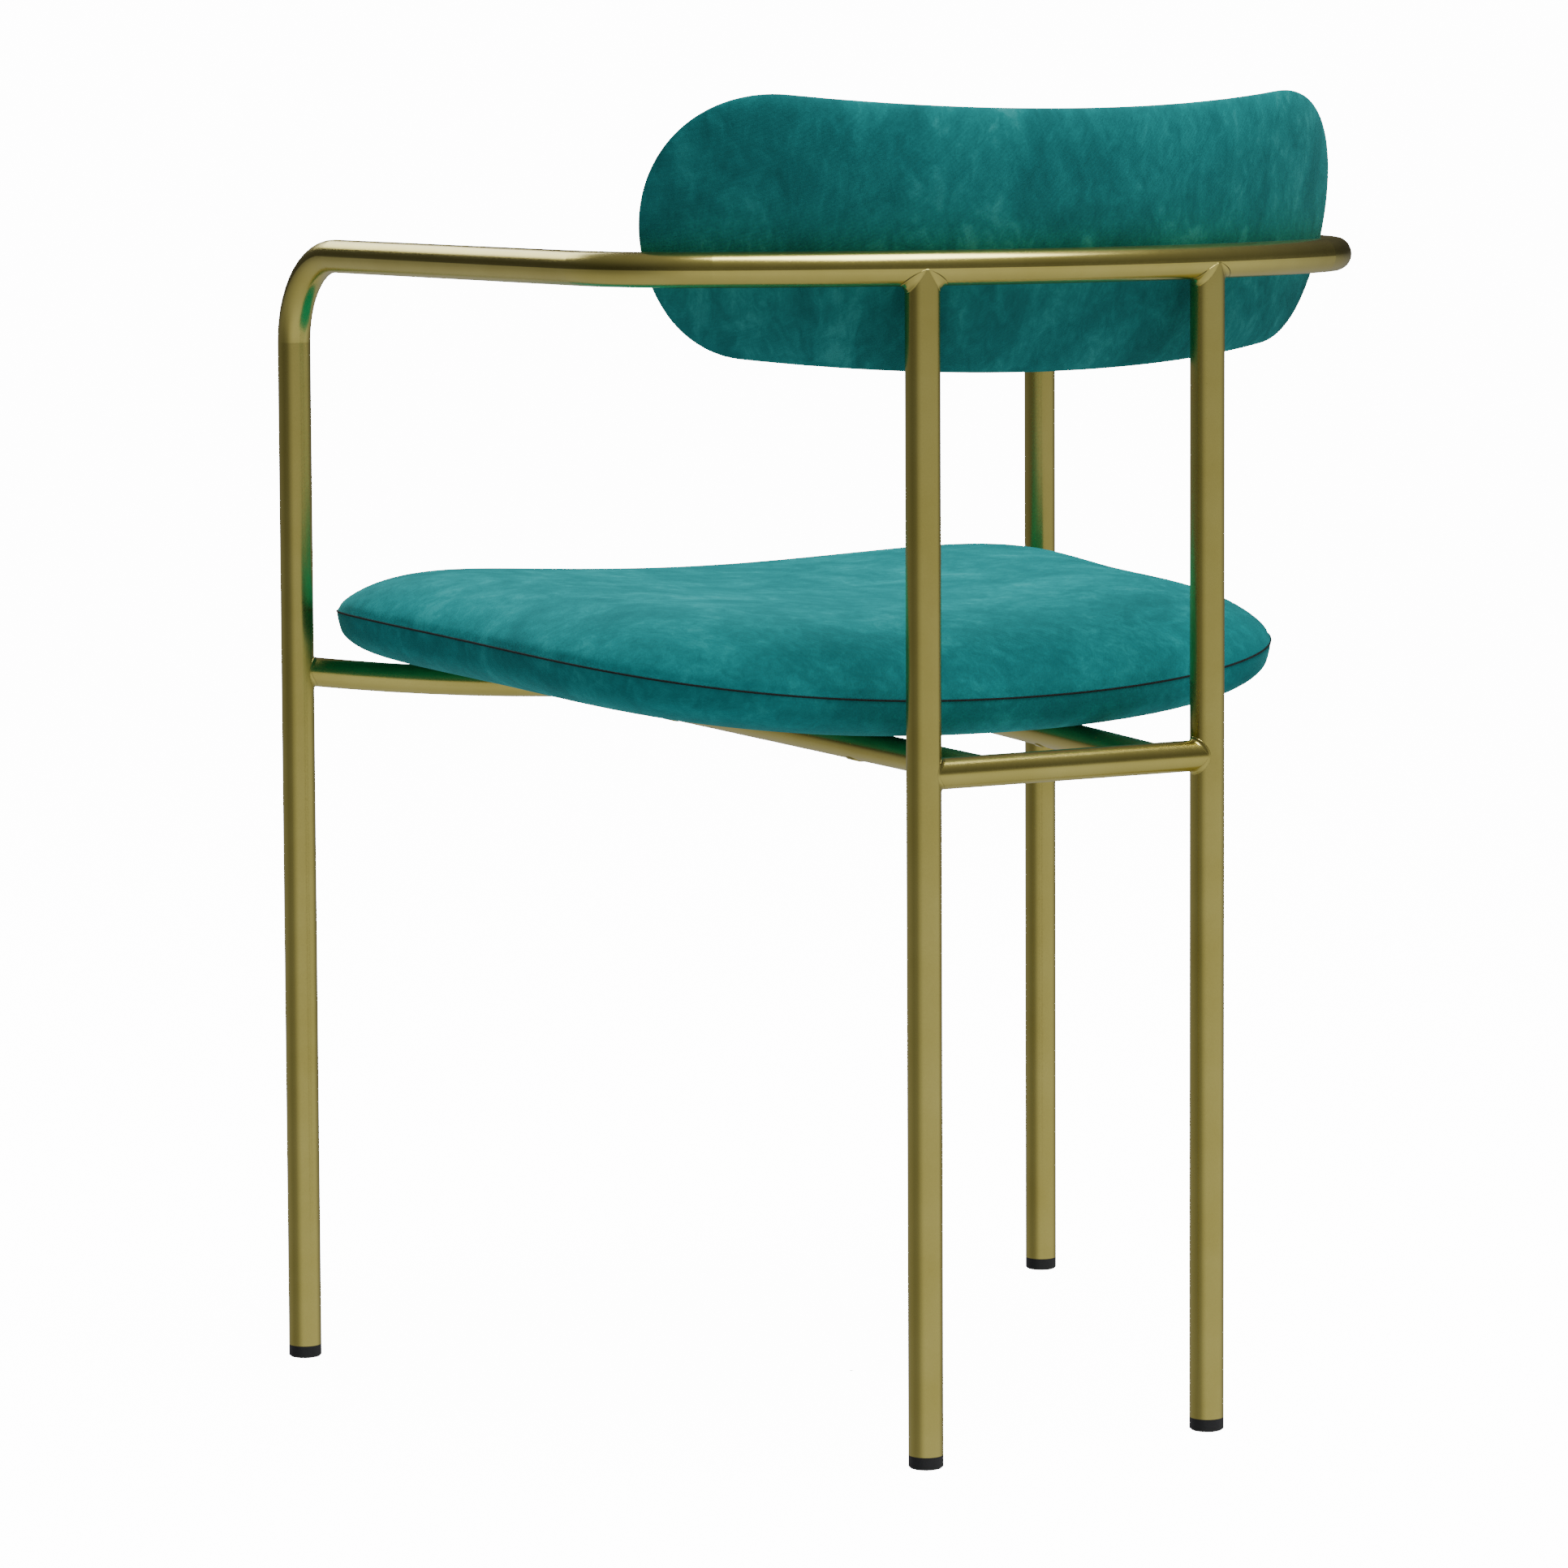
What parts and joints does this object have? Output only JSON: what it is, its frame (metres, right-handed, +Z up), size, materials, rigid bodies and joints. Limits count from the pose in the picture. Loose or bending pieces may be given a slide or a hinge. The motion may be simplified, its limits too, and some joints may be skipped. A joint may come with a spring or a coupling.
{
  "type": "dining armchair",
  "caption": "Dining armchair with a bent brass-finished tube frame, a saddle-shaped upholstered seat and a narrow curved back pad in teal velvet.",
  "frame": {"origin": "On the floor, under the middle of the chair's bounding box.", "axes": "+Z up, -Y is the way the sitter faces, +X is the sitter's left. The chair is mirror-symmetric about X = 0."},
  "size_m": [0.5556, 0.5359, 0.7768],
  "materials": {
    "brass_tube": "satin brass-plated steel tube",
    "glide_plastic": "moulded charcoal plastic",
    "birch_plywood": "raw sanded plywood",
    "upholstery_foam": "cut foam",
    "teal_velvet": "short pile velvet",
    "zinc_steel": "zinc plated"
  },
  "bodies": {
    "root": {"frame_hoop": "brass_tube", "rear_leg_left": "brass_tube", "rear_leg_right": "brass_tube", "rear_cross_rail": "brass_tube", "front_rail": "brass_tube", "seat_bar_left": "brass_tube", "seat_bar_right": "brass_tube", "weld_beads_back_rail": "brass_tube", "weld_beads_cross_rail": "brass_tube", "weld_beads_front_rail": "brass_tube", "weld_beads_seat_bars": "brass_tube", "foot_glide_front_left": "glide_plastic", "foot_glide_front_right": "glide_plastic", "foot_glide_rear_left": "glide_plastic", "foot_glide_rear_right": "glide_plastic", "seat_board": "birch_plywood", "back_board": "birch_plywood", "seat_foam": "upholstery_foam", "back_foam": "upholstery_foam", "back_wadding": "upholstery_foam", "seat_top_cover": "teal_velvet", "seat_under_cover": "teal_velvet", "back_front_cover": "teal_velvet", "back_rear_cover": "teal_velvet", "seat_tee_nuts": "zinc_steel", "seat_bolts": "zinc_steel", "seat_saddle_washers": "zinc_steel", "back_bolts": "zinc_steel", "back_rivet_nuts": "zinc_steel", "seat_bar_hole_plugs": "brass_tube"}
  },
  "joints": []
}
